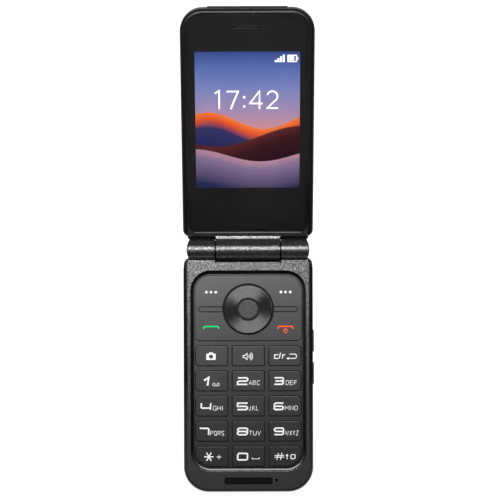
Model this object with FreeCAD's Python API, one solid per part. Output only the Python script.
# Flip phone, open, lying on its back: the keypad half is flat, the display half leans up behind it.
# Millimetres. +X is to the right of the keypad, +Y runs from the chin to the hinge, +Z is up.
# The origin is the middle of the flat back face of the keypad half.
import FreeCAD, Part
import math
import os

# Hinge
lean_deg = 18.0             # rise of the display half above flat when the phone is fully open
barrel_r = 4.35             # outer radius of all three hinge barrels
barrel_gap = 0.35           # side gap between the middle barrel and the outer knuckles
thrust_play = 0.1           # the part of that gap that the knuckle's thrust boss leaves open
thrust_step = 0.4           # the boss is this much smaller in radius than the barrel
middle_half = 13.7          # half the length of the middle barrel
knuckle_len = 11.4          # each outer knuckle, without its end cap
knuckle_end_r = 8.5         # bow of the knuckle's outer end, seen from above
cap_t = 0.45                # curved end cap outside each knuckle
cap_plug_len = 1.6
knuckle_root = 0.8          # overlap of the neck with the end wall
running_gap = 0.05          # radial clearance of turning fits
fixed_gap = 0.02            # radial clearance of pressed or threaded fits
cartridge_r = 3.15
cartridge_len = 9.6
shaft_r = 1.5
shaft_in_barrel = 4.6       # length of the shaft inside the middle barrel
shaft_in_cartridge = 8.0
barrel_wall = 1.1
barrel_end_wall = 5.0       # solid end of the middle barrel that grips the shaft
barrel_pin_wall = 2.2       # other end of the middle barrel, which grips the pivot pin
pin_r = 2.2
pin_bore_r = 1.4
pin_in_knuckle = 7.0

# Display half, along the length from the hinge axis
lid_setback = 5.5
lens_foot_rim = 2.2
display_foot_border = 19.3
display_len = 57.6
display_head_border = 15.8
lens_head_rim = 1.7

# Display half, across the width
display_w = 43.2
display_side_border = 3.82
lens_side_rim = 2.08

# Display half, through the thickness, from the display face
lens_recess = 0.1
lens_t = 1.0
lens_glue_t = 0.1
display_t = 2.3
lid_board_gap = 0.2
lid_board_t = 0.6
lid_parts_h = 1.0           # room for the parts on the display board
outer_display_t = 1.5
lid_wall_gap = 0.1
lid_back_wall = 1.3

lid_side_wall = 1.3
lid_frame_depth = 3.6       # from the display face to the seam with the rear cover
lid_front_edge_r = 1.5
lid_ridge_half = 16.4       # low ridge along the head end of the rear cover
lid_ridge_h = 0.3
lid_ridge_margin = 0.6
lid_back_edge_r = 2.6
lid_hinge_corner_r = 2.9
lid_tail_from_hinge = 2.6   # the rear cover reaches this near to the hinge axis, under the barrels
lid_tail_drop = 5.6         # top of that tail below the hinge axis
lid_tail_margin = 1.75      # each end of the tail from the side of the phone
lid_tail_corner_r = 1.5
lid_tail_edge_r = 1.1
lid_head_corner_r = 9.2
lens_head_corner_r = 8.0
lens_foot_corner_r = 3.4
lens_side_gap = 0.08
lens_rim_chamfer = 0.15
lens_ledge_t = 0.8          # ledge of the frame under the lens
display_bezel = 1.5         # frame of the display module around its active area
display_tail = 4.0          # extra frame at the foot of the display module
piece_gap = 0.2             # clearance between loose inner pieces and what holds them
lid_neck_drop = 0.3
lid_neck_flat = 0.45        # level part of the neck's top beside the barrel
lid_neck_fall = 0.55        # slope of the rest of it, down to the frame
flex_w = 6.0
flex_t = 0.2
flex_slot_t = 0.6
flex_x = -6.0
flex_drop = 2.9             # of the strip below the hinge axis
flex_roll_r = 2.5
flex_roll_t = 0.5
flex_reach = 7.0            # of the strip into the display half
slot_w = 13.2
slot_len = 1.5
slot_from_lens_head = 5.65
mesh_t = 0.4
receiver_w = 13.0
receiver_len = 6.5
receiver_t = 2.4

# Outer face of the display half
outer_lens_w = 32.0
outer_lens_len = 24.0
outer_lens_t = 0.8
outer_lens_corner_r = 3.0
outer_lens_from_head = 17.0
outer_lens_lip = 1.5
outer_display_inset = 2.2
camera_x = -12.0
camera_from_head = 10.0
camera_size = 8.4
camera_t = 4.2
camera_barrel_r = 3.0
camera_glass_r = 3.6
camera_glass_t = 0.7
camera_ring_w = 1.0
camera_ring_h = 0.4
flash_x = -3.2
flash_r = 1.5
flash_t = 1.6

# Keypad half, along the length
base_setback = 5.4          # hinge axis to the end of the keypad face
base_tail = 2.0             # the rear housing and the cover reach this much nearer to the hinge
well_from_end = 3.4
chin_len = 8.8
base_overhang = 0.9         # the keypad half reaches this much further than the display half
function_len = 27.66        # field of the function keys
key_gap_y = 2.3

# Keypad half, across the width
well_side_rim = 2.9
well_bevel = 1.6
web_border = 0.55
key_gap_x = 1.95

# Keypad half, through the thickness, from the back face
cover_t = 1.0
battery_gap = 0.15
battery_t = 4.0
deck_gap = 0.05
deck_t = 0.7
can_gap = 0.1
can_h = 0.85
board_t = 0.7
film_t = 0.1
dome_h = 0.25
mat_gap = 0.05
mat_t = 0.4
key_travel = 0.3
key_stop_gap = 0.05
flange_t = 0.25
flange_gap = 0.05
web_t = 0.9
key_proud = 0.15
face_proud = 0.35
closed_gap = 0.35           # between the two faces when the phone is shut

base_wall = 1.4
rear_wall = 2.2             # wall of the rear housing, thick enough to carry the deck
face_plate_t = 1.5
base_front_edge_r = 1.4
base_hinge_corner_r = 2.9
base_foot_corner_r = 10.7
cover_seam = 2.6            # height of the seam between battery cover and rear housing
cover_edge_r = 2.2
cover_skirt_t = 1.2
well_bevel_h = 0.38
well_corner_r = 8.6
web_gap = 0.4
key_gap = 0.28              # running gap around each key
key_corner_r = 1.7
key_inner_corner_r = 0.45
key_edge_r = 0.22
flange_w = 0.6
plunger_r = 1.0
plunger_gap = 0.3
dome_r = 2.2
hairline = 0.08             # seam between neighbouring function keys
tactile_w = 3.5             # raised bar on the middle number key
tactile_len = 0.85
tactile_h = 0.15
tactile_from_foot = 1.1

# Navigation ring and centre key
ring_from_top = 14.94       # from the head of the keypad to the middle of the ring
ring_r = 10.22
ring_hole_r = 4.8
ring_t = 0.95
ring_proud = 0.3
centre_key_r = 4.14
ring_gap = 0.8              # clearance around the ring
carrier_t = 0.3
carrier_r = 9.6
carrier_hole_r = 5.3
pivot_pad_h = 0.27
pivot_pad_w = 0.6
pivot_pad_len = 1.6
pivot_pad_from_middle = 6.2
nub_from_middle = 8.4
nub_r = 0.8
pad_play = 0.03
bar_half_h = 0.86           # capsule bars beside the ring
bar_reach = 20.9
bar_gap = 0.3

# Chin
chin_slot_w = 20.5
chin_slot_len = 2.85
chin_slot_from_end = 3.35
chin_slot_corner_r = 1.1
mic_x = 11.85
mic_from_end = 5.1
mic_hole_r = 0.45
mic_size = 2.2
mic_t = 1.1
grille_t = 0.45
grille_lip = 0.45

# Side keys
side_key_len = 9.2
side_key_h = 2.4
side_key_proud = 0.45
side_key_z = 7.35
side_key_flange = 0.5
side_key_lip = 0.5
side_key_edge_r = 0.3
volume_up_from_hinge = 38.8
volume_down_from_hinge = 52.7
switch_w = 1.4
switch_len = 3.4
switch_h = 0.8

# Inner pieces of the keypad half
battery_w = 40.0
battery_len = 52.0
battery_corner_r = 1.5
bay_from_hinge_end = 30.7
bay_wall = 1.0
bay_gap = 0.3
board_side_gap = 1.6
board_head_gap = 5.7
board_foot_gap = 13.2
speaker_w = 20.0
speaker_len = 9.0
seat_gap = 0.05            # between an inner piece and the piece it sits on
motor_r = 4.0
motor_t = 2.6
motor_x = 15.5
motor_from_hinge_end = 12.7
sim_w = 15.0
sim_len = 14.5
sim_t = 1.5
sim_x = -6.5
sim_from_hinge_end = 13.7
contact_x = 8.0
contact_w = 9.0
contact_len = 2.4
contact_h = 3.0
contact_blade_w = 1.2
contact_blades = 3
usb_w = 8.94
usb_h = 3.26
usb_len = 7.4
usb_wall = 0.35
usb_tongue_t = 0.7
usb_tongue_w = 6.6
usb_tongue_len = 4.6
usb_from_hinge_end = 18.7
screw_r = 0.8
screw_head_r = 1.5
screw_head_h = 0.7
screw_bite = 2.2
screw_recess_w = 0.4        # arms of the cross in each screw's head
screw_recess_depth = 0.3
lid_screw_head_h = 0.4
boss_wall = 0.8
base_screw_x = 19.5
base_screw_from_head = 3.6
base_screw_from_foot = 6.4
lid_screw_x = 20.4
lid_screw_from_head = 6.6
lid_screw_from_foot = 6.2
can_side = 15.0
can_len = 19.0
can_x = 10.5
tab_w = 6.0
tab_t = 0.8
tab_h = 1.2
tab_from_foot = 16.0
notch_r = 1.2

# Worked out from the sizes above
lens_w = display_w + 2 * display_side_border
phone_w = lens_w + 2 * lens_side_rim
half_w = phone_w / 2
lens_len = display_foot_border + display_len + display_head_border
lid_reach = lid_setback + lens_foot_rim + lens_len + lens_head_rim
base_len = lid_reach + base_overhang - base_setback + base_tail
deck_z = cover_t + battery_gap + battery_t + deck_gap
deck_top = deck_z + deck_t
board_z = deck_top + can_gap + can_h
board_top = board_z + board_t
film_top = board_top + film_t
dome_top = film_top + dome_h
mat_z = dome_top + mat_gap
mat_top = mat_z + mat_t
key_z = mat_top + key_travel + key_stop_gap
plunger_z = dome_top + key_travel + key_stop_gap
web_z = key_z + flange_t + flange_gap
web_top = web_z + web_t
key_top = web_top + key_proud
base_t = key_top + face_proud
plate_z = base_t - face_plate_t
lid_t = (lens_recess + lens_t + lens_glue_t + display_t + lid_board_gap + lid_board_t
         + lid_parts_h + outer_display_t + lid_wall_gap + lid_back_wall)
tail_y = base_len / 2
head_y = tail_y - base_tail
hinge_y = head_y + base_setback
hinge_z = base_t + closed_gap / 2
knuckle_in = middle_half + barrel_gap
knuckle_out = knuckle_in + knuckle_len
foot_y = -base_len / 2
well_w = phone_w - 2 * well_side_rim
well_head = head_y - well_from_end
well_foot = foot_y + chin_len
pad_w = well_w - 2 * well_bevel
pad_head = well_head - well_bevel
pad_foot = well_foot + well_bevel
pad_corner_r = well_corner_r - well_bevel
field_half = pad_w / 2 - web_border
field_head = pad_head - web_border
field_foot = pad_foot + web_border
function_foot = field_head - function_len
key_w = (2 * field_half - 2 * key_gap_x) / 3
key_rows = 5
key_h = (function_foot - key_gap_y - field_foot - (key_rows - 1) * key_gap_y) / key_rows
ring_y = pad_head - ring_from_top
ring_top = web_top + ring_proud
lens_foot = hinge_y + lid_setback + lens_foot_rim
lens_head = lens_foot + lens_len
lid_foot = hinge_y + lid_setback
lid_head = hinge_y + lid_reach
lens_z = base_t - lens_recess - lens_t
ledge_z = lens_z - lens_ledge_t
lid_seam = base_t - lid_frame_depth
lid_back = base_t - lid_t
lid_inner_back = lid_back + lid_back_wall
display_foot = lens_foot + display_foot_border
display_head = display_foot + display_len
display_z = lens_z - lens_glue_t - display_t
lid_board_z = display_z - lid_board_gap - lid_board_t


def vec(x, y, z):
    return FreeCAD.Vector(x, y, z)


def rounded_wire(x0, x1, y0, y1, z, radii):
    """Closed outline; radii is one number, or right foot, right head, left head and left foot."""
    if not isinstance(radii, tuple):
        radii = (radii,) * 4
    corners = ((x1, y0, -1, 1), (x1, y1, -1, -1), (x0, y1, 1, -1), (x0, y0, 1, 1))
    arcs = []
    for i, (x, y, inward_x, inward_y) in enumerate(corners):
        r = radii[i]
        points = []
        for turn in (0, 45, 90):
            a = math.radians(90 * (i - 1) + turn)
            points.append(vec(x + r * (inward_x + math.cos(a)), y + r * (inward_y + math.sin(a)), z))
        arcs.append(points)
    edges = []
    for i, points in enumerate(arcs):
        edges.append(Part.Arc(*points).toShape())
        end = points[2]
        start = arcs[(i + 1) % 4][0]
        if end.distanceToPoint(start) > 1e-6:
            edges.append(Part.LineSegment(end, start).toShape())
    return Part.Wire(edges)


def slab(x0, x1, y0, y1, z0, z1, radii):
    """Flat plate with rounded upright corners."""
    wire = rounded_wire(x0, x1, y0, y1, z0, radii)
    return Part.Face(wire).extrude(vec(0, 0, z1 - z0))


def ends(foot_r, head_r):
    """Corner radii of an outline that has one radius at its foot and one at its head."""
    return foot_r, head_r, head_r, foot_r


def block(x0, x1, y0, y1, z0, z1):
    return Part.makeBox(x1 - x0, y1 - y0, z1 - z0, vec(x0, y0, z0))


def post(x, y, z0, z1, r):
    return Part.makeCylinder(r, z1 - z0, vec(x, y, z0), vec(0, 0, 1))


def bar_on_axis(x0, x1, r):
    """Round bar on the hinge axis."""
    return Part.makeCylinder(r, x1 - x0, vec(x0, hinge_y, hinge_z), vec(1, 0, 0))


def side_profile(points, x0, x1):
    """Prism along X from its outline of (y, z) points."""
    corners = [vec(x0, y, z) for y, z in points]
    return Part.Face(Part.makePolygon(corners + corners[:1])).extrude(vec(x1 - x0, 0, 0))


def level_edges(shape, z):
    """Edges that lie flat at one height."""
    near = 1e-4
    return [e for e in shape.Edges if abs(e.BoundBox.ZMin - z) < near and abs(e.BoundBox.ZMax - z) < near]


def both_sides(shape):
    """The shape and its mirror image across the middle plane."""
    return shape, shape.mirror(vec(0, 0, 0), vec(1, 0, 0))


def lift(shape):
    """Turn a piece of the display half from flat to the lean of the open phone."""
    turned = shape.copy()
    turned.rotate(vec(0, hinge_y, hinge_z), vec(1, 0, 0), lean_deg)
    return turned


def lens_outline_wire(z, shrink):
    radii = ends(lens_foot_corner_r - shrink, lens_head_corner_r - shrink)
    half = lens_w / 2 - shrink
    return rounded_wire(-half, half, lens_foot + shrink, lens_head - shrink, z, radii)


def lens_outline(z0, z1, shrink=0.0):
    return Part.Face(lens_outline_wire(z0, shrink)).extrude(vec(0, 0, z1 - z0))


def lid_outline(z0, z1, shrink=0.0):
    radii = ends(lid_hinge_corner_r - shrink, lid_head_corner_r - shrink)
    half = half_w - shrink
    return slab(-half, half, lid_foot + shrink, lid_head - shrink, z0, z1, radii)


def base_outline(z0, z1, shrink=0.0, tail=base_tail):
    radii = ends(base_foot_corner_r - shrink, base_hinge_corner_r - shrink)
    half = half_w - shrink
    return slab(-half, half, foot_y + shrink, head_y + tail - shrink, z0, z1, radii)


def pad_outline(z0, z1, grow=0.0):
    half = pad_w / 2 + grow
    return slab(-half, half, pad_foot - grow, pad_head + grow, z0, z1, pad_corner_r + grow)


# Display half: its pieces are made flat, then leaned up about the hinge

slot_y = lens_head - slot_from_lens_head
receiver_top = lens_z - seat_gap
lid_screw_places = [(side * lid_screw_x, y) for side in (-1, 1)
                    for y in (lid_foot + lid_screw_from_foot, lid_head - lid_screw_from_head)]
boss_r = screw_r + boss_wall
camera_y = lid_head - camera_from_head
outer_lens_head = lid_head - outer_lens_from_head
outer_lens_foot = outer_lens_head - outer_lens_len


def display_plate(z0, z1, grow=0.0):
    half = display_w / 2 + display_bezel + grow
    return slab(-half, half, display_foot - display_tail - grow, display_head + display_bezel + grow,
                z0, z1, display_bezel / 2)


def earpiece_slot(z0, z1, shrink=0.0):
    half = slot_w / 2 - shrink
    tall = slot_len / 2 - shrink
    return slab(-half, half, slot_y - tall, slot_y + tall, z0, z1, tall - 0.01)


def receiver_box(z0, z1, grow=0.0):
    half = receiver_w / 2 + grow
    tall = receiver_len / 2 + grow
    return block(-half, half, slot_y - tall, slot_y + tall, z0, z1)


def lid_front_frame():
    """Frame around the lens, with the middle hinge barrel on its neck."""
    frame = lid_outline(lid_seam, base_t)
    frame = frame.makeFillet(lid_front_edge_r, level_edges(frame, base_t))
    frame = frame.cut(lid_outline(lid_seam, ledge_z, lid_side_wall))
    frame = frame.cut(lens_outline(lens_z, base_t))
    low = lens_outline_wire(base_t - lens_rim_chamfer, 0)
    frame = frame.cut(Part.makeLoft([low, lens_outline_wire(base_t, -lens_rim_chamfer)], True, True))
    frame = frame.cut(display_plate(ledge_z, lens_z, piece_gap))
    frame = frame.cut(receiver_box(ledge_z, lens_z, piece_gap))
    for x, y in lid_screw_places:
        frame = frame.cut(post(x, y, ledge_z, lens_z, screw_r + piece_gap))
        frame = frame.cut(post(x, y, lens_z - lid_screw_head_h, lens_z, screw_head_r + piece_gap))
    top = base_t - lid_neck_drop
    root = lid_foot + lid_side_wall / 2
    start = hinge_y + barrel_r / 2
    neck = side_profile([(start, lid_seam), (start, top), (hinge_y + barrel_r + lid_neck_flat, top),
                         (root, top - lid_neck_fall), (root, lid_seam)], -middle_half, middle_half)
    frame = frame.fuse(neck).fuse(bar_on_axis(-middle_half, middle_half, barrel_r))
    cavity_r = barrel_r - barrel_wall
    frame = frame.cut(bar_on_axis(-middle_half + barrel_pin_wall, middle_half - barrel_end_wall, cavity_r))
    frame = frame.cut(bar_on_axis(-middle_half, 0, pin_r + fixed_gap))
    frame = frame.cut(bar_on_axis(0, middle_half, shaft_r + fixed_gap))
    flex_z = hinge_z - flex_drop
    flex_slot = block(flex_x - flex_w / 2 - piece_gap, flex_x + flex_w / 2 + piece_gap,
                      hinge_y, lid_foot + lid_side_wall, flex_z - flex_slot_t / 2, flex_z + flex_slot_t / 2)
    return frame.cut(flex_slot).removeSplitter()


def lid_rear_cover():
    """Outer shell of the display half, with the windows for the outer display and the camera."""
    cover = lid_outline(lid_back, lid_seam)
    cover = cover.makeFillet(lid_back_edge_r, level_edges(cover, lid_back))
    ridge = block(-lid_ridge_half, lid_ridge_half, lid_head - lid_side_wall / 2, lid_head + lid_ridge_h,
                  lid_back + lid_back_edge_r - lid_ridge_margin, lid_seam - lid_ridge_margin)
    half = half_w - lid_tail_margin
    tail_foot = hinge_y + lid_tail_from_hinge
    tail_top = hinge_z - lid_tail_drop
    tail = slab(-half, half, tail_foot, lid_foot + 2 * lid_back_edge_r, lid_back, tail_top,
                lid_tail_corner_r)
    tail = tail.makeFillet(lid_tail_edge_r, level_edges(tail, lid_back))
    cover = cover.fuse(ridge).fuse(tail)
    cover = cover.cut(lid_outline(lid_inner_back, lid_seam, lid_side_wall))
    half -= lid_side_wall
    cover = cover.cut(block(-half, half, tail_foot + lid_side_wall, lid_foot + 2 * lid_side_wall,
                            lid_inner_back, tail_top - lid_side_wall))
    for x, y in lid_screw_places:
        cover = cover.fuse(post(x, y, lid_back + lid_back_wall / 2, ledge_z, boss_r))
        cover = cover.cut(post(x, y, ledge_z - screw_bite - piece_gap, ledge_z, screw_r + fixed_gap))
    half = outer_lens_w / 2
    cover = cover.cut(slab(-half, half, outer_lens_foot, outer_lens_head,
                           lid_back, lid_back + outer_lens_t, outer_lens_corner_r))
    half -= outer_lens_lip
    cover = cover.cut(slab(-half, half, outer_lens_foot + outer_lens_lip, outer_lens_head - outer_lens_lip,
                           lid_back, lid_inner_back, outer_lens_corner_r - outer_lens_lip))
    seat_r = camera_glass_r + lens_side_gap
    cover = cover.fuse(post(camera_x, camera_y, lid_back - camera_ring_h, lid_back + camera_glass_t,
                            seat_r + camera_ring_w))
    cover = cover.cut(post(camera_x, camera_y, lid_back - camera_ring_h, lid_back + camera_glass_t, seat_r))
    cover = cover.cut(post(camera_x, camera_y, lid_back, lid_inner_back, camera_barrel_r + piece_gap))
    cover = cover.cut(post(flash_x, camera_y, lid_back, lid_inner_back, flash_r + lens_side_gap))
    return cover.removeSplitter()


def main_lens():
    lens = lens_outline(lens_z, lens_z + lens_t, lens_side_gap)
    lens = lens.makeFillet(lens_side_gap, level_edges(lens, lens_z + lens_t))
    return lens.cut(earpiece_slot(lens_z, lens_z + lens_t))


def earpiece_grille():
    return earpiece_slot(lens_z, lens_z + mesh_t, fixed_gap)


def earpiece_receiver():
    return receiver_box(receiver_top - receiver_t, receiver_top)


def display_module():
    return display_plate(display_z, display_z + display_t)


def lid_board():
    """Thin board behind the display, with the connector for the hinge cable."""
    half = lid_screw_x - boss_r - 2 * piece_gap
    board = slab(-half, half, lid_foot + 2 * lid_side_wall, display_head - display_bezel,
                 lid_board_z, lid_board_z + lid_board_t, 1.0)
    flex_z = hinge_z - flex_drop - flex_t / 2
    reach = lid_foot + lid_side_wall + flex_reach
    socket = block(flex_x - flex_w / 2, flex_x + flex_w / 2, reach - flex_reach / 2, reach,
                   lid_board_z + lid_board_t, flex_z)
    return board.fuse(socket).removeSplitter()


def outer_display():
    half = outer_lens_w / 2 - outer_display_inset
    z = lid_inner_back + lid_wall_gap
    return block(-half, half, outer_lens_foot + outer_display_inset, outer_lens_head - outer_display_inset,
                 z, z + outer_display_t)


def outer_lens():
    half = outer_lens_w / 2 - lens_side_gap
    lens = slab(-half, half, outer_lens_foot + lens_side_gap, outer_lens_head - lens_side_gap,
                lid_back, lid_back + outer_lens_t, outer_lens_corner_r - lens_side_gap)
    return lens.makeFillet(lens_side_gap, level_edges(lens, lid_back))


def camera_module():
    half = camera_size / 2
    z = lid_inner_back + seat_gap
    body = block(camera_x - half, camera_x + half, camera_y - half, camera_y + half, z, z + camera_t)
    return body.fuse(post(camera_x, camera_y, lid_back + camera_glass_t + seat_gap, z, camera_barrel_r))


def camera_glass():
    return post(camera_x, camera_y, lid_back, lid_back + camera_glass_t, camera_glass_r)


def flash_lens():
    return post(flash_x, camera_y, lid_back, lid_back + flash_t, flash_r)


def cross_recess(x, y, z0, z1):
    """Cross for a screwdriver."""
    arm = block(x - screw_r, x + screw_r, y - screw_recess_w / 2, y + screw_recess_w / 2, z0, z1)
    return arm.fuse(block(x - screw_recess_w / 2, x + screw_recess_w / 2, y - screw_r, y + screw_r, z0, z1))


def lid_screws():
    top = lens_z - seat_gap
    screws = []
    for x, y in lid_screw_places:
        head = post(x, y, lens_z - lid_screw_head_h, top, screw_head_r)
        head = head.cut(cross_recess(x, y, top - screw_recess_depth, top))
        screws.append(head.fuse(post(x, y, ledge_z - screw_bite, lens_z - lid_screw_head_h, screw_r)))
    return Part.makeCompound(screws)


def hinge_shaft():
    """Cam shaft gripped by the middle barrel, turning in the cartridge."""
    return bar_on_axis(middle_half - shaft_in_barrel, knuckle_in + shaft_in_cartridge, shaft_r)


def hinge_pivot_pin():
    pin = bar_on_axis(-knuckle_in - pin_in_knuckle, -middle_half + barrel_pin_wall, pin_r)
    return pin.cut(bar_on_axis(-knuckle_in - pin_in_knuckle, 0, pin_bore_r))


def hinge_flex_cable():
    """Cable from the display board, rolled inside the middle barrel, with its tail in the hollow pin."""
    z = hinge_z - flex_drop
    strip = block(flex_x - flex_w / 2, flex_x + flex_w / 2, hinge_y,
                  lid_foot + lid_side_wall + flex_reach, z - flex_t / 2, z + flex_t / 2)
    roll_half = flex_w / 2
    roll = bar_on_axis(flex_x - roll_half, flex_x + roll_half, flex_drop + flex_t / 2)
    roll = roll.cut(bar_on_axis(flex_x - roll_half, flex_x + roll_half, flex_roll_r))
    tail_r = pin_bore_r - piece_gap
    tail = bar_on_axis(-knuckle_in - pin_in_knuckle, flex_x - roll_half + flex_roll_t, tail_r)
    web = bar_on_axis(flex_x - roll_half, flex_x - roll_half + flex_roll_t, flex_drop)
    return strip.fuse(roll).fuse(web).fuse(tail).removeSplitter()


# Keypad half: housings

speaker_foot = foot_y + base_wall + piece_gap
usb_y = head_y - usb_from_hinge_end
usb_mouth = -half_w + piece_gap
usb_z = board_z - seat_gap - usb_h / 2
base_screw_places = [(side * base_screw_x, y) for side in (-1, 1)
                     for y in (foot_y + base_screw_from_foot, head_y - base_screw_from_head)]
battery_head = head_y - bay_from_hinge_end
battery_foot = battery_head - battery_len
chin_slot_y = foot_y + chin_slot_from_end + chin_slot_len / 2
mic_y = foot_y + mic_from_end
side_key_places = (hinge_y - volume_up_from_hinge, hinge_y - volume_down_from_hinge)


def usb_outline(x0, x1, grow):
    """Socket outline with half-round ends, run along X."""
    tall = usb_h + 2 * grow
    wide = usb_w + 2 * grow
    flat = slab(usb_y - wide / 2, usb_y + wide / 2, usb_z - tall / 2, usb_z + tall / 2,
                0, x1 - x0, tall / 2 - 0.01)
    flat.rotate(vec(0, 0, 0), vec(1, 1, 1), 120)
    flat.translate(vec(x0, 0, 0))
    return flat


def chin_slot(z0, z1, grow=0.0):
    half = chin_slot_w / 2 + grow
    tall = chin_slot_len / 2 + grow
    return slab(-half, half, chin_slot_y - tall, chin_slot_y + tall, z0, z1, chin_slot_corner_r + grow)


def bowed_end(shrink=0.0):
    """Upright disc that bows the outer end of the right knuckle."""
    x = knuckle_in + knuckle_len + cap_t - knuckle_end_r
    return post(x, hinge_y, deck_z - barrel_r, base_t + 2 * barrel_r, knuckle_end_r - shrink)


def knuckle(side):
    """Outer hinge barrel and the neck that carries it from the keypad face."""
    drop = deck_z - hinge_z
    across = tail_y - hinge_y
    turn = math.atan2(drop, across) + math.acos(barrel_r / math.hypot(across, drop))
    tangent = hinge_y + barrel_r * math.cos(turn), hinge_z + barrel_r * math.sin(turn)
    neck = side_profile([(head_y - knuckle_root, base_t), (hinge_y, base_t), (hinge_y, hinge_z), tangent,
                         (tail_y, deck_z), (head_y - knuckle_root, deck_z)], knuckle_in, knuckle_out)
    barrel = bar_on_axis(knuckle_in, knuckle_out + cap_t, barrel_r)
    outside = barrel.cut(bowed_end(cap_t))
    body = barrel.common(bowed_end(cap_t)).fuse(neck.cut(outside))
    body = body.fuse(bar_on_axis(middle_half + thrust_play, knuckle_in, barrel_r - thrust_step))
    bore_r = cartridge_r + fixed_gap if side > 0 else pin_r + running_gap
    body = body.cut(bar_on_axis(0, half_w, bore_r))
    body = body.cut(bar_on_axis(knuckle_out - cap_plug_len - piece_gap, half_w, cartridge_r + fixed_gap))
    if side < 0:
        body = body.mirror(vec(0, 0, 0), vec(1, 0, 0))
    return body.removeSplitter()


def base_front_housing():
    """Keypad face with its well, the chin openings and the two outer hinge knuckles."""
    beyond = 2 * base_hinge_corner_r
    housing = slab(-half_w, half_w, foot_y, head_y + beyond, deck_z, base_t, ends(base_foot_corner_r, 0.5))
    housing = housing.makeFillet(base_front_edge_r, level_edges(housing, base_t))
    housing = housing.common(base_outline(deck_z, base_t, 0, 0))
    housing = housing.cut(base_outline(deck_z, plate_z, base_wall, 0))
    bevel_z = base_t - well_bevel_h
    rim = rounded_wire(-well_w / 2, well_w / 2, well_foot, well_head, base_t, well_corner_r)
    half = pad_w / 2 + web_gap
    throat = rounded_wire(-half, half, pad_foot - web_gap, pad_head + web_gap, bevel_z, pad_corner_r + web_gap)
    housing = housing.cut(Part.makeLoft([throat, rim], True, True))
    housing = housing.cut(pad_outline(plate_z, bevel_z, web_gap))
    housing = housing.cut(chin_slot(plate_z, base_t))
    housing = housing.cut(post(mic_x, mic_y, plate_z, base_t, mic_hole_r))
    for x, y in base_screw_places:
        boss = post(x, y, deck_top, plate_z + seat_gap, boss_r)
        housing = housing.fuse(boss)
        housing = housing.cut(post(x, y, deck_top, deck_top + screw_bite + piece_gap, screw_r + fixed_gap))
    for y in side_key_places:
        tall = side_key_h / 2 + key_gap
        housing = housing.cut(block(half_w - base_wall, half_w, y - side_key_len / 2 - key_gap,
                                    y + side_key_len / 2 + key_gap, side_key_z - tall, side_key_z + tall))
    housing = housing.cut(usb_outline(-half_w, -half_w + base_wall, seat_gap))
    for side in (-1, 1):
        housing = housing.fuse(knuckle(side))
    return housing.removeSplitter()


def base_rear_housing():
    """Middle ring and deck, with the battery bay open towards the battery cover."""
    ring = base_outline(cover_seam, deck_z).cut(base_outline(cover_seam, deck_z, rear_wall))
    housing = ring.fuse(base_outline(deck_z, deck_top, base_wall + piece_gap, 0))
    low = cover_t + battery_gap
    bay_half = battery_w / 2 + bay_gap
    bay = slab(-bay_half - bay_wall, bay_half + bay_wall, battery_foot - bay_gap - bay_wall,
               battery_head + bay_gap + bay_wall, low, deck_z, battery_corner_r + bay_gap + bay_wall)
    bay = bay.cut(slab(-bay_half, bay_half, battery_foot - bay_gap, battery_head + bay_gap,
                       low, deck_z, battery_corner_r + bay_gap))
    housing = housing.fuse(bay)
    half = contact_w / 2 + piece_gap
    housing = housing.cut(block(contact_x - half, contact_x + half, battery_head,
                                battery_head + bay_gap + bay_wall, low, deck_z))
    for x, y in base_screw_places:
        housing = housing.cut(post(x, y, deck_z, deck_top, screw_r + piece_gap))
    housing = housing.cut(usb_outline(-half_w, usb_mouth + usb_len + piece_gap, seat_gap))
    return housing.removeSplitter()


def battery_cover():
    """Snap-on back cover with a skirt, a pry notch and tabs inside the rear housing."""
    cover = base_outline(0, cover_seam)
    cover = cover.makeFillet(cover_edge_r, level_edges(cover, 0))
    cover = cover.cut(base_outline(cover_t, cover_seam, cover_skirt_t))
    outer = half_w - rear_wall - piece_gap
    low_tab = foot_y + tab_from_foot
    high_tab = usb_y - usb_w / 2 - tab_w
    for y in (low_tab, (low_tab + high_tab) / 2, high_tab):
        tab = block(outer - tab_t, outer, y - tab_w / 2, y + tab_w / 2, cover_t / 2, cover_seam + tab_h)
        for piece in both_sides(tab):
            cover = cover.fuse(piece)
    notch = Part.makeCylinder(notch_r, 2 * cover_skirt_t, vec(-notch_r, foot_y - cover_skirt_t, cover_seam),
                              vec(0, 1, 0))
    return cover.cut(notch).removeSplitter()


def base_screws():
    screws = []
    for x, y in base_screw_places:
        low = deck_z - screw_head_h
        head = post(x, y, low, deck_z, screw_head_r).cut(cross_recess(x, y, low, low + screw_recess_depth))
        screws.append(head.fuse(post(x, y, deck_z, deck_top + screw_bite, screw_r)))
    return Part.makeCompound(screws)


def hinge_cartridge():
    """Spring cartridge pressed into the right knuckle; the cam shaft turns in it."""
    body = bar_on_axis(knuckle_in, knuckle_in + cartridge_len, cartridge_r)
    return body.cut(bar_on_axis(knuckle_in, knuckle_in + cartridge_len, shaft_r + running_gap))


def hinge_end_caps():
    cap = bar_on_axis(knuckle_out - barrel_r, knuckle_out + cap_t, barrel_r)
    cap = cap.common(bowed_end()).cut(bowed_end(cap_t))
    plug = bar_on_axis(knuckle_out - cap_plug_len, knuckle_out + cap_t / 2, cartridge_r)
    cap = cap.fuse(plug.common(bowed_end())).removeSplitter()
    return Part.makeCompound(list(both_sides(cap)))


# Keypad half: inner pieces

def main_board():
    half = half_w - base_wall - board_side_gap
    return slab(-half, half, foot_y + board_foot_gap, head_y - board_head_gap, board_z, board_top, board_side_gap)


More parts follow.
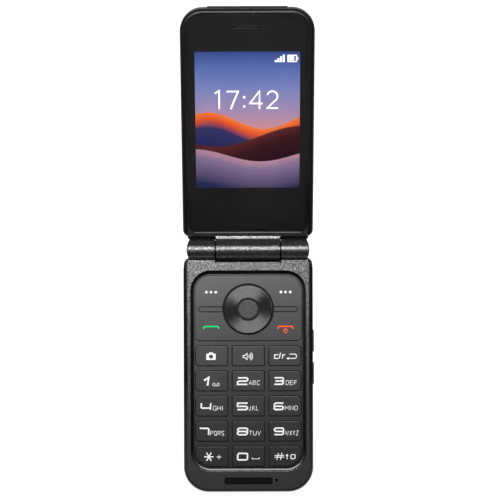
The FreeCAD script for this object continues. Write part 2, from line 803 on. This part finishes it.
def board_shield_cans():
    """Four pressed cans over the circuits under the board."""
    cans = []
    for x, y in ((-can_x, usb_y), (can_x, usb_y), (-can_x, -can_len / 2), (can_x, -can_len / 2)):
        width = can_side - 2 * piece_gap
        cans.append(slab(x - width / 2, x + width / 2, y - can_len / 2, y + can_len / 2,
                         board_z - can_h, board_z, board_side_gap))
    return Part.makeCompound(cans)


def battery_pack():
    half = battery_w / 2
    low = cover_t + battery_gap
    pack = slab(-half, half, battery_foot, battery_head, low, low + battery_t, battery_corner_r)
    return pack.makeFillet(battery_corner_r / 3, level_edges(pack, low))


def battery_contacts():
    y = battery_head + bay_gap
    body = block(contact_x - contact_w / 2, contact_x + contact_w / 2, y, y + contact_len,
                 deck_z - contact_h, deck_z)
    pitch = contact_w / contact_blades
    for i in range(contact_blades):
        x = contact_x + (i - (contact_blades - 1) / 2) * pitch
        body = body.fuse(block(x - contact_blade_w / 2, x + contact_blade_w / 2, battery_head + fixed_gap, y,
                               deck_z - contact_h / 2, deck_z - contact_h / 4))
    return body.removeSplitter()


def sim_card_socket():
    y = head_y - sim_from_hinge_end
    body = block(sim_x - sim_w / 2, sim_x + sim_w / 2, y - sim_len, y, deck_z - sim_t, deck_z)
    tray = block(sim_x - sim_w / 2 + sim_t, sim_x + sim_w / 2 - sim_t, y - sim_len, y - sim_t,
                 deck_z - 2 * sim_t / 3, deck_z - sim_t / 3)
    return body.cut(tray)


def usb_socket():
    """Steel shell with half-round ends and a tongue inside, mouth on the left edge."""
    shell = usb_outline(usb_mouth, usb_mouth + usb_len, 0)
    shell = shell.cut(usb_outline(usb_mouth, usb_mouth + usb_len - usb_wall, -usb_wall))
    tongue = block(usb_mouth + usb_len - usb_wall - usb_tongue_len, usb_mouth + usb_len - usb_wall / 2,
                   usb_y - usb_tongue_w / 2, usb_y + usb_tongue_w / 2,
                   usb_z - usb_tongue_t / 2, usb_z + usb_tongue_t / 2)
    return shell.fuse(tongue).removeSplitter()


def loudspeaker():
    half = speaker_w / 2
    return slab(-half, half, speaker_foot, speaker_foot + speaker_len, deck_top + seat_gap,
                plate_z - grille_t - seat_gap, piece_gap * 5)


def chin_grille():
    return chin_slot(plate_z - grille_t, plate_z, grille_lip)


def microphone():
    half = mic_size / 2
    top = plate_z - seat_gap
    body = block(mic_x - half, mic_x + half, mic_y - half, mic_y + half, top - mic_t, top)
    return body.cut(post(mic_x, mic_y, top - mic_t / 2, top, mic_hole_r))


def vibration_motor():
    return post(motor_x, head_y - motor_from_hinge_end, deck_z - motor_t, deck_z, motor_r)


# Keypad half: keys and what lies under them

grid_names = (("camera_key", "speaker_key", "clear_key"), ("key_1", "key_2", "key_3"),
              ("key_4", "key_5", "key_6"), ("key_7", "key_8", "key_9"), ("key_star", "key_0", "key_hash"))
function_names = {"softkey_left": (-1, 1), "softkey_right": (1, 1), "call_key": (-1, -1), "end_key": (1, -1)}
field_foot_r = key_corner_r
field_head_r = pad_corner_r - web_border
function_z = key_z + key_travel + key_stop_gap
function_x = (ring_r + field_half) / 2
function_dy = (field_head - ring_y) / 2
bar_strip_top = function_z - key_travel - 2 * key_stop_gap
nub_places = [(nub_from_middle, 0), (-nub_from_middle, 0), (0, nub_from_middle), (0, -nub_from_middle)]


def grid_box(row, column):
    """Corners and corner radii of one key of the grid."""
    x0 = -field_half + column * (key_w + key_gap_x)
    y1 = function_foot - key_gap_y - row * (key_h + key_gap_y)
    radii = [key_inner_corner_r] * 4
    foot_r = key_corner_r
    if row == key_rows - 1:
        foot_r = min(field_head_r, key_h - key_corner_r - seat_gap)
    if column == 0:
        radii[2], radii[3] = key_corner_r, foot_r
    if column == 2:
        radii[0], radii[1] = foot_r, key_corner_r
    return x0, x0 + key_w, y1 - key_h, y1, radii


def grid_slab(row, column, z0, z1, grow):
    x0, x1, y0, y1, radii = grid_box(row, column)
    return slab(x0 - grow, x1 + grow, y0 - grow, y1 + grow, z0, z1, tuple(r + grow for r in radii))


def grid_centre(row, column):
    x0, x1, y0, y1, radii = grid_box(row, column)
    return (x0 + x1) / 2, (y0 + y1) / 2


def function_centre(name):
    side, end = function_names[name]
    return side * function_x, ring_y + end * function_dy


def key_centres():
    """Every place where a plunger reaches through the rubber mat."""
    places = [grid_centre(row, column) for row in range(key_rows) for column in range(3)]
    places += [function_centre(name) for name in function_names]
    places += [(x, ring_y + y) for x, y in nub_places]
    return places + [(0, ring_y)]


def plunger(x, y, z):
    return post(x, y, plunger_z, z, plunger_r)


def grid_key(row, column):
    cap = grid_slab(row, column, key_z, key_top, 0)
    cap = cap.makeFillet(key_edge_r, level_edges(cap, key_top))
    cap = cap.fuse(grid_slab(row, column, key_z, key_z + flange_t, flange_w))
    x, y = grid_centre(row, column)
    return cap.fuse(plunger(x, y, key_z)).removeSplitter()


def capsule_bar(z0, z1, grow=0.0):
    """Bar beside the ring on the right; its outer end is round."""
    tall = bar_half_h + grow
    bar = slab(ring_r / 2, bar_reach + grow, ring_y - tall, ring_y + tall, z0, z1, tall - 0.01)
    return bar.cut(post(0, ring_y, z0, z1, ring_r + ring_gap))


def function_field(z0, z1, grow=0.0):
    radii = ends(field_foot_r + grow, field_head_r + grow)
    half = field_half + grow
    return slab(-half, half, function_foot - grow, field_head + grow, z0, z1, radii)


def function_key(name):
    """One quarter of the panel around the ring."""
    side, end = function_names[name]
    z0 = function_z
    panel = function_field(z0, key_top).cut(post(0, ring_y, z0, key_top, ring_r + ring_gap))
    bar = capsule_bar(z0, key_top, bar_gap)
    for piece in both_sides(bar):
        panel = panel.cut(piece)
    half = hairline / 2
    x0, x1 = (half, half_w) if side > 0 else (-half_w, -half)
    y0, y1 = (ring_y + half, head_y) if end > 0 else (foot_y, ring_y - half)
    panel = panel.common(block(x0, x1, y0, y1, z0, key_top))
    x, y = function_centre(name)
    return panel.fuse(plunger(x, y, z0)).removeSplitter()


def keypad_web():
    """Plate with the ribs between the keys and the two bars beside the ring."""
    web = pad_outline(web_z, web_top)
    for row in range(key_rows):
        for column in range(3):
            web = web.cut(grid_slab(row, column, web_z, web_top, key_gap))
    web = web.cut(function_field(web_z, web_top, key_gap))
    low = mat_top + seat_gap
    strip = block(ring_r + ring_gap + key_gap, pad_w / 2, ring_y - bar_half_h / 2,
                  ring_y + bar_half_h / 2, low, bar_strip_top)
    riser = block(field_half + key_gap, pad_w / 2, ring_y - bar_half_h, ring_y + bar_half_h,
                  low, web_z + seat_gap)
    bar = capsule_bar(low, web_top).fuse(strip).fuse(riser)
    for piece in both_sides(bar):
        web = web.fuse(piece)
    return web.removeSplitter()


def keypad_rubber_mat():
    """Silicone sheet with a hole for each plunger and two pads that carry the ring's carrier."""
    inset = web_border
    half = pad_w / 2 - inset
    mat = slab(-half, half, pad_foot + inset, pad_head - inset, mat_z, mat_top, pad_corner_r - inset)
    for x, y in key_centres():
        mat = mat.cut(post(x, y, mat_z, mat_top, plunger_r + plunger_gap))
    pad = block(pivot_pad_from_middle - pivot_pad_len / 2, pivot_pad_from_middle + pivot_pad_len / 2,
                ring_y - pivot_pad_w / 2, ring_y + pivot_pad_w / 2, mat_z, carrier_z - pad_play)
    for piece in both_sides(pad):
        mat = mat.fuse(piece)
    return mat.removeSplitter()


def dome_sheet():
    """Film on the board with a metal snap dome under each plunger."""
    half = pad_w / 2 - 2 * web_border
    sheet = slab(-half, half, pad_foot + 2 * web_border, pad_head - 2 * web_border, board_top, film_top,
                 pad_corner_r - 2 * web_border)
    for x, y in key_centres():
        sheet = sheet.fuse(Part.makeCone(dome_r, dome_r / 2, dome_h, vec(x, y, film_top), vec(0, 0, 1)))
    return sheet.removeSplitter()


ring_z = ring_top - ring_t
carrier_z = ring_z - pad_play - pivot_pad_h - carrier_t


def nav_ring():
    ring = post(0, ring_y, ring_z, ring_top, ring_r).cut(post(0, ring_y, ring_z, ring_top, ring_hole_r))
    return ring.makeFillet(key_edge_r, level_edges(ring, ring_top))


def nav_ring_carrier():
    """Thin washer under the ring: it rocks up and down, and the ring rocks sideways on its pads."""
    top = carrier_z + carrier_t
    washer = post(0, ring_y, carrier_z, top, carrier_r)
    for sign in (-1, 1):
        y = ring_y + sign * pivot_pad_from_middle
        washer = washer.fuse(block(-pivot_pad_w / 2, pivot_pad_w / 2, y - pivot_pad_len / 2,
                                   y + pivot_pad_len / 2, carrier_z, top + pivot_pad_h))
    washer = washer.cut(post(0, ring_y, carrier_z, top + pivot_pad_h, carrier_hole_r))
    for x, y in nub_places:
        washer = washer.fuse(post(x, ring_y + y, plunger_z, carrier_z, nub_r))
    return washer.removeSplitter()


def ok_key():
    cap = post(0, ring_y, key_z, ring_top - key_stop_gap, centre_key_r)
    cap = cap.makeFillet(key_edge_r, level_edges(cap, ring_top - key_stop_gap))
    cap = cap.fuse(post(0, ring_y, key_z, key_z + flange_t, ring_hole_r + flange_w / 2))
    return cap.fuse(plunger(0, ring_y, key_z)).removeSplitter()


def tactile_bar():
    """Raised mark near the foot of the middle number key."""
    x, y = grid_centre(2, 1)
    foot = y - key_h / 2 + tactile_from_foot
    return slab(x - tactile_w / 2, x + tactile_w / 2, foot, foot + tactile_len,
                key_top - seat_gap, key_top + tactile_h, tactile_len / 2 - 0.01)


def side_key(y):
    """Volume key: the cap stands out of the right wall and its flange stays inside."""
    inner = half_w - base_wall - seat_gap
    cap = block(inner - side_key_flange, half_w + side_key_proud, y - side_key_len / 2, y + side_key_len / 2,
                side_key_z - side_key_h / 2, side_key_z + side_key_h / 2)
    face = [e for e in cap.Edges if e.BoundBox.XMin > half_w + side_key_proud - 1e-4]
    cap = cap.makeFillet(side_key_edge_r, face)
    flange = block(inner - side_key_flange, inner, y - side_key_len / 2 - side_key_lip,
                   y + side_key_len / 2 + side_key_lip, side_key_z - side_key_h / 2, side_key_z + side_key_h / 2)
    return cap.fuse(flange).removeSplitter()


def side_key_switches():
    x1 = half_w - base_wall - seat_gap - side_key_flange - key_travel - key_stop_gap
    switches = []
    for y in side_key_places:
        switches.append(block(x1 - switch_w, x1, y - switch_len / 2, y + switch_len / 2,
                              board_top, board_top + switch_h))
    return Part.makeCompound(switches)


nodes = {
    "base_front_housing": base_front_housing(),
    "base_rear_housing": base_rear_housing(),
    "battery_cover": battery_cover(),
    "base_screws": base_screws(),
    "hinge_cartridge": hinge_cartridge(),
    "hinge_end_caps": hinge_end_caps(),
    "main_board": main_board(),
    "board_shield_cans": board_shield_cans(),
    "battery_pack": battery_pack(),
    "battery_contacts": battery_contacts(),
    "sim_card_socket": sim_card_socket(),
    "usb_socket": usb_socket(),
    "loudspeaker": loudspeaker(),
    "chin_grille": chin_grille(),
    "microphone": microphone(),
    "vibration_motor": vibration_motor(),
    "keypad_web": keypad_web(),
    "keypad_rubber_mat": keypad_rubber_mat(),
    "dome_sheet": dome_sheet(),
    "nav_ring": nav_ring(),
    "nav_ring_carrier": nav_ring_carrier(),
    "ok_key": ok_key(),
    "volume_up_key": side_key(side_key_places[0]),
    "volume_down_key": side_key(side_key_places[1]),
    "side_key_switches": side_key_switches(),
}
for name in function_names:
    nodes[name] = function_key(name)
for row, names in enumerate(grid_names):
    for column, name in enumerate(names):
        nodes[name] = grid_key(row, column)
nodes["key_5"] = nodes["key_5"].fuse(tactile_bar()).removeSplitter()

lid_nodes = {
    "lid_front_frame": lid_front_frame(),
    "lid_rear_cover": lid_rear_cover(),
    "main_lens": main_lens(),
    "earpiece_grille": earpiece_grille(),
    "earpiece_receiver": earpiece_receiver(),
    "display_module": display_module(),
    "lid_board": lid_board(),
    "outer_display": outer_display(),
    "outer_lens": outer_lens(),
    "camera_module": camera_module(),
    "camera_glass": camera_glass(),
    "flash_lens": flash_lens(),
    "lid_screws": lid_screws(),
    "hinge_shaft": hinge_shaft(),
    "hinge_pivot_pin": hinge_pivot_pin(),
    "hinge_flex_cable": hinge_flex_cable(),
}
for name, shape in lid_nodes.items():
    nodes[name] = lift(shape)

os.makedirs("parts", exist_ok=True)
for name, shape in nodes.items():
    shape.exportStep(os.path.join("parts", name + ".step"))
    print(name, "solids", len(shape.Solids), "valid", shape.isValid(), "volume", round(shape.Volume, 1))
print(len(nodes), "nodes; base", round(base_len, 2), "x", round(phone_w, 2), "x", round(base_t, 2),
      "; hinge y", round(hinge_y, 3), "z", round(hinge_z, 3), "; ring y", round(ring_y, 3))
